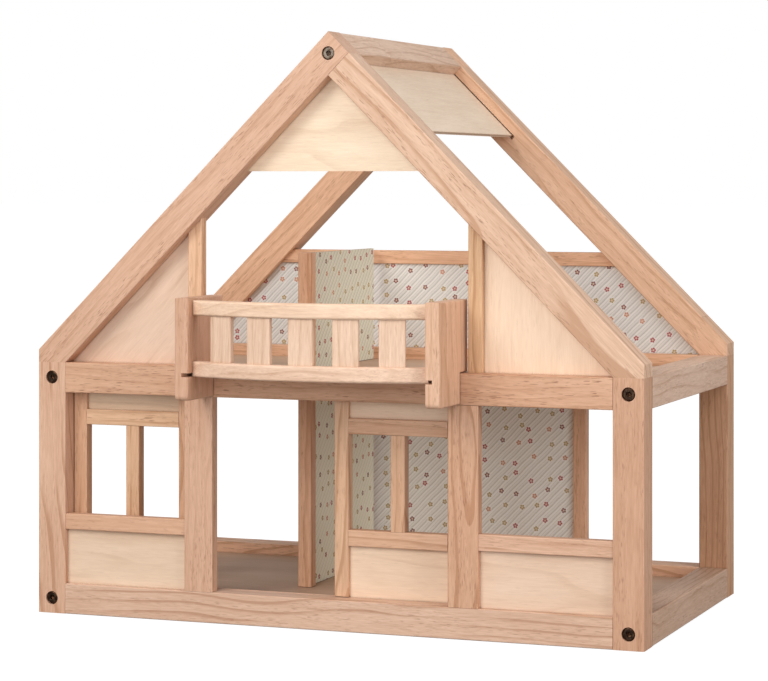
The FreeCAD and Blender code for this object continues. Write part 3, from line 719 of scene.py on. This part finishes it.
def socket_bolt(length):
    """A socket-head bolt along Y, its head's face at the origin: a turned shape with a six-sided recess."""
    rings = [
        (SOCKET_DEPTH + DRILL_POINT, circle(0.6 * MM)),
        (SOCKET_DEPTH, hexagon(SOCKET_ACROSS_FLATS)),
        (SOCKET_CHAMFER, hexagon(SOCKET_ACROSS_FLATS)),
        (0.0, hexagon(SOCKET_ACROSS_FLATS, SOCKET_CHAMFER)),
        (0.0, circle(HEAD_RADIUS - HEAD_ROUNDING)),
        (0.3 * HEAD_ROUNDING, circle(HEAD_RADIUS - 0.3 * HEAD_ROUNDING)),
        (HEAD_ROUNDING, circle(HEAD_RADIUS)),
        (1.2 * HEAD_ROUNDING, knurl(HEAD_RADIUS)),
        (HEAD_HEIGHT - 0.2 * MM, knurl(HEAD_RADIUS)),
        (HEAD_HEIGHT, circle(HEAD_RADIUS - 0.3 * MM)),
        (HEAD_HEIGHT, circle(SHANK_RADIUS)),
        (length, circle(SHANK_RADIUS)),
    ]
    bm = bmesh.new()
    loops = []
    for y, reach in rings:
        loop = []
        for i in range(BOLT_SIDES):
            angle = 2 * math.pi * i / BOLT_SIDES
            radius = reach(angle, i)
            loop.append(bm.verts.new((radius * math.cos(angle), y, radius * math.sin(angle))))
        loops.append(loop)
    for first, second in zip(loops, loops[1:]):
        for i in range(BOLT_SIDES):
            after = (i + 1) % BOLT_SIDES
            bm.faces.new((first[i], first[after], second[after], second[i]))
    bm.faces.new(loops[0])
    bm.faces.new(loops[-1])
    bmesh.ops.recalc_face_normals(bm, faces=bm.faces)
    return object_from("bolt_pattern", bm)


def boxes_of_solids(node):
    """The low and high corners of each loose solid's box in a CAD node, in the order of its mesh."""
    bm = bmesh.new()
    bm.from_mesh(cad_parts[node].data)
    bmesh.ops.remove_doubles(bm, verts=bm.verts, dist=0.001 * MM)
    found = set()
    boxes = []
    for start in bm.verts:
        if start in found:
            continue
        found.add(start)
        stack = [start]
        low = start.co.copy()
        high = start.co.copy()
        while stack:
            vert = stack.pop()
            low = Vector(map(min, low, vert.co))
            high = Vector(map(max, high, vert.co))
            for edge in vert.link_edges:
                other = edge.other_vert(vert)
                if other not in found:
                    found.add(other)
                    stack.append(other)
        boxes.append((low, high))
    bm.free()
    return boxes


bolt_tree = make_bolt_tree()
house_middle = (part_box("front_post_left")[0].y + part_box("rear_post_left")[1].y) / 2
for node, metal, seed in (
    ("corner_bolts", bolt_metal("dark_bronze", tint(56, 42, 34), 0.36), 3),
    ("ridge_bolts", bolt_metal("plated_steel", tint(152, 141, 128), 0.36), 8),
):
    faces = bmesh.new()
    for low, high in boxes_of_solids(node):
        at_front = (low.y + high.y) / 2 < house_middle
        faces.verts.new(((low.x + high.x) / 2, low.y if at_front else high.y, (low.z + high.z) / 2))
        bolt_length = high.y - low.y
    points = object_from(node + "_points", faces)
    pattern = socket_bolt(bolt_length)
    bolts = baked(node + "_turned", points, bolt_tree, {
        "Bolt": pattern, "Middle": house_middle, "Seed": seed, "Metal": metal}, "root")
    bpy.data.objects.remove(pattern)
    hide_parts(node)
dress("barrel_nuts", bolt_metal("nut_steel", tint(158, 156, 150), 0.4))


def make_baluster_tree():
    """Stands copies of one baluster evenly along an arc, each square to it."""
    tree, given, out = new_group("balusters_on_arc", [
        ("Geometry", "NodeSocketGeometry", None),
        ("Baluster", "NodeSocketObject", None),
        ("Radius", FLOAT, 0.25),
        ("Spread", FLOAT, 0.5),
        ("Count", "NodeSocketInt", 5),
        ("Centre", VECTOR, (0.0, 0.0, 0.0)),
        ("Wood", "NodeSocketMaterial", None),
    ], [("Geometry", "NodeSocketGeometry")], "GeometryNodeTree")
    pattern = tree.add("GeometryNodeObjectInfo", {"Object": given["Baluster"]}).outputs["Geometry"]
    start = tree.math("SUBTRACT", -math.pi / 2, tree.math("MULTIPLY", given["Spread"], 0.5))
    arc = tree.add("GeometryNodeCurveArc", {
        "Resolution": 65, "Radius": given["Radius"], "Start Angle": start, "Sweep Angle": given["Spread"]})
    spots = tree.add("GeometryNodeCurveToPoints", {
        "Curve": arc.outputs["Curve"], "Count": given["Count"]}, mode="COUNT")
    turn = tree.add("FunctionNodeAlignRotationToVector", {"Vector": spots.outputs["Tangent"]},
                    axis="X", pivot_axis="Z").outputs[0]
    row = tree.add("GeometryNodeInstanceOnPoints", {
        "Points": spots.outputs["Points"], "Instance": pattern, "Rotation": turn}).outputs[0]
    real = tree.add("GeometryNodeRealizeInstances", {0: row}).outputs[0]
    placed = tree.add("GeometryNodeSetPosition", {"Geometry": real, "Offset": given["Centre"]}).outputs[0]
    dressed = tree.add("GeometryNodeSetMaterial", {"Geometry": placed, "Material": given["Wood"]}).outputs[0]
    tree.feed(out[0], dressed)
    return tree.tree


def rounded_board(width, thickness, height, rounding):
    """An upright flat board centred on the origin, its long edges rounded."""
    bm = bmesh.new()
    bmesh.ops.create_cube(bm, size=1.0)
    bmesh.ops.scale(bm, vec=(width, thickness, height), verts=bm.verts)
    upright = [edge for edge in bm.edges if edge.verts[0].co.xy == edge.verts[1].co.xy]
    bmesh.ops.bevel(bm, geom=upright, offset=rounding, segments=4, profile=0.5, affect="EDGES")
    bmesh.ops.recalc_face_normals(bm, faces=bm.faces)
    return object_from("baluster_pattern", bm)


RAIL_THICKNESS = 10.0 * MM
RAIL_BULGE = 20.0 * MM
BALUSTER_COUNT = 5
BALUSTER_PITCH = 36.5 * MM
BALUSTER_WIDTH = 21 * MM
BALUSTER_THICKNESS = 5 * MM
BALUSTER_ROUNDING = 1.2 * MM

# The rails' front is an arc through their ends that stands out by the bulge at the middle. The balusters stand
# on the rails' middle line.
rail_low, rail_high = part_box("balcony_top_rail")
rail_half = (rail_high.x - rail_low.x) / 2
rail_radius = (rail_half ** 2 + RAIL_BULGE ** 2) / (2 * RAIL_BULGE)
row_low, row_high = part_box("balcony_balusters")
row_radius = rail_radius - RAIL_THICKNESS / 2
baluster = rounded_board(BALUSTER_WIDTH, BALUSTER_THICKNESS, row_high.z - row_low.z, BALUSTER_ROUNDING)
anchor = bpy.data.objects.new("baluster_anchor", bpy.data.meshes.new("baluster_anchor"))
bpy.context.scene.collection.objects.link(anchor)
row = baked("balcony_baluster_row", anchor, make_baluster_tree(), {
    "Baluster": baluster,
    "Radius": row_radius,
    "Spread": (BALUSTER_COUNT - 1) * BALUSTER_PITCH / row_radius,
    "Count": BALUSTER_COUNT,
    "Centre": (0.0, rail_low.y + rail_radius, (row_low.z + row_high.z) / 2),
    "Wood": solid_wood("baluster_wood", middle_of("balcony_balusters"), "z", 71.0, base=(230, 198, 173),
                       pith=(40, 60), figure=0.25, pores=0.2),
}, "balcony")
bpy.data.objects.remove(baluster)
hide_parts("balcony_balusters")

# ---- studio ------------------------------------------------------------------------------------

FLOOR_REACH = 30.0
FLOOR_GREYS = ((0.31, 0.31, 0.31, 1), (0.33, 0.33, 0.33, 1))
FLOOR_GLOW = 0.85

# The floor glows white to the camera, and reflects less than a white floor does.
floor_mesh = bmesh.new()
bmesh.ops.create_grid(floor_mesh, x_segments=1, y_segments=1, size=FLOOR_REACH)
floor = object_from("studio_floor", floor_mesh)
floor.location.z = -0.5 * MM
floor_paint, floor_tree = new_material("studio_white")
floor_grain = floor_tree.add("ShaderNodeTexNoise", {"Scale": 40.0}).outputs[0]
floor_seen = floor_tree.add("ShaderNodeLightPath").outputs["Is Camera Ray"]
floor_surface = floor_tree.add("ShaderNodeBsdfPrincipled", {
    "Base Color": floor_tree.mix(floor_grain, *FLOOR_GREYS),
    "Roughness": 0.8,
    "Specular IOR Level": 0.1,
    "Emission Color": (1.0, 1.0, 1.0, 1.0),
    "Emission Strength": floor_tree.math("MULTIPLY", floor_seen, FLOOR_GLOW),
})
floor_tree.add("ShaderNodeOutputMaterial", {"Surface": floor_surface.outputs[0]})
floor.data.materials.append(floor_paint)

# The backdrop is white to the camera and dimmer as a light.
world = bpy.data.worlds.new("studio")
bpy.context.scene.world = world
world.use_nodes = True
sky_tree = Tree(world.node_tree)
seen = sky_tree.add("ShaderNodeLightPath").outputs["Is Camera Ray"]
strength = sky_tree.add("ShaderNodeMapRange", {"Value": seen, "To Min": 0.5, "To Max": 1.0}).outputs[0]
sky = sky_tree.add("ShaderNodeBackground", {"Color": (1.0, 1.0, 1.0, 1.0), "Strength": strength})
sky_tree.add("ShaderNodeOutputWorld", {"Surface": sky.outputs[0]})


def softbox(name, place, aim, size, power, colour=(1.0, 1.0, 1.0)):
    """A square area light that looks at a point."""
    lamp = bpy.data.lights.new(name, "AREA")
    lamp.size = size
    lamp.energy = power
    lamp.color = colour
    holder = bpy.data.objects.new(name, lamp)
    holder.location = place
    holder.rotation_euler = (Vector(aim) - Vector(place)).to_track_quat("-Z", "Y").to_euler()
    bpy.context.scene.collection.objects.link(holder)


# Each lamp: name, place, what it looks at, size in metres, power in watts and colour.
HOUSE_HEART = (0.0, 0.0, 0.2)
softbox("key", (-0.65, -1.7, 1.5), HOUSE_HEART, 1.0, 22.4, (1.0, 0.99, 0.97))
softbox("front", (0.25, -2.6, 0.78), HOUSE_HEART, 0.9, 11.6)
softbox("fill", (2.0, -0.6, 1.7), HOUSE_HEART, 1.2, 15.0)
softbox("side", (2.0, -0.95, 0.42), (0.0, 0.05, 0.12), 0.8, 9.6)
softbox("low", (-0.3, -2.6, 0.35), (0.0, 0.0, 0.1), 0.7, 3.0)

# ---- camera ------------------------------------------------------------------------------------

CAMERA_PLACE = (0.7768, -2.0444, 0.3614)
CAMERA_TURN = 0.362
SENSOR_WIDTH = 36.0
LENS = 121.9
LENS_SHIFT = -0.2114

camera_data = bpy.data.cameras.new("camera")
camera_data.sensor_width = SENSOR_WIDTH
camera_data.lens = LENS
camera_data.shift_y = LENS_SHIFT
camera_data.clip_start = 0.05
camera_data.clip_end = 100.0
camera = bpy.data.objects.new("camera", camera_data)
camera.location = CAMERA_PLACE
camera.rotation_euler = (math.radians(90), 0.0, CAMERA_TURN)
bpy.context.scene.collection.objects.link(camera)
bpy.context.scene.camera = camera
bpy.context.scene.view_settings.view_transform = "Standard"
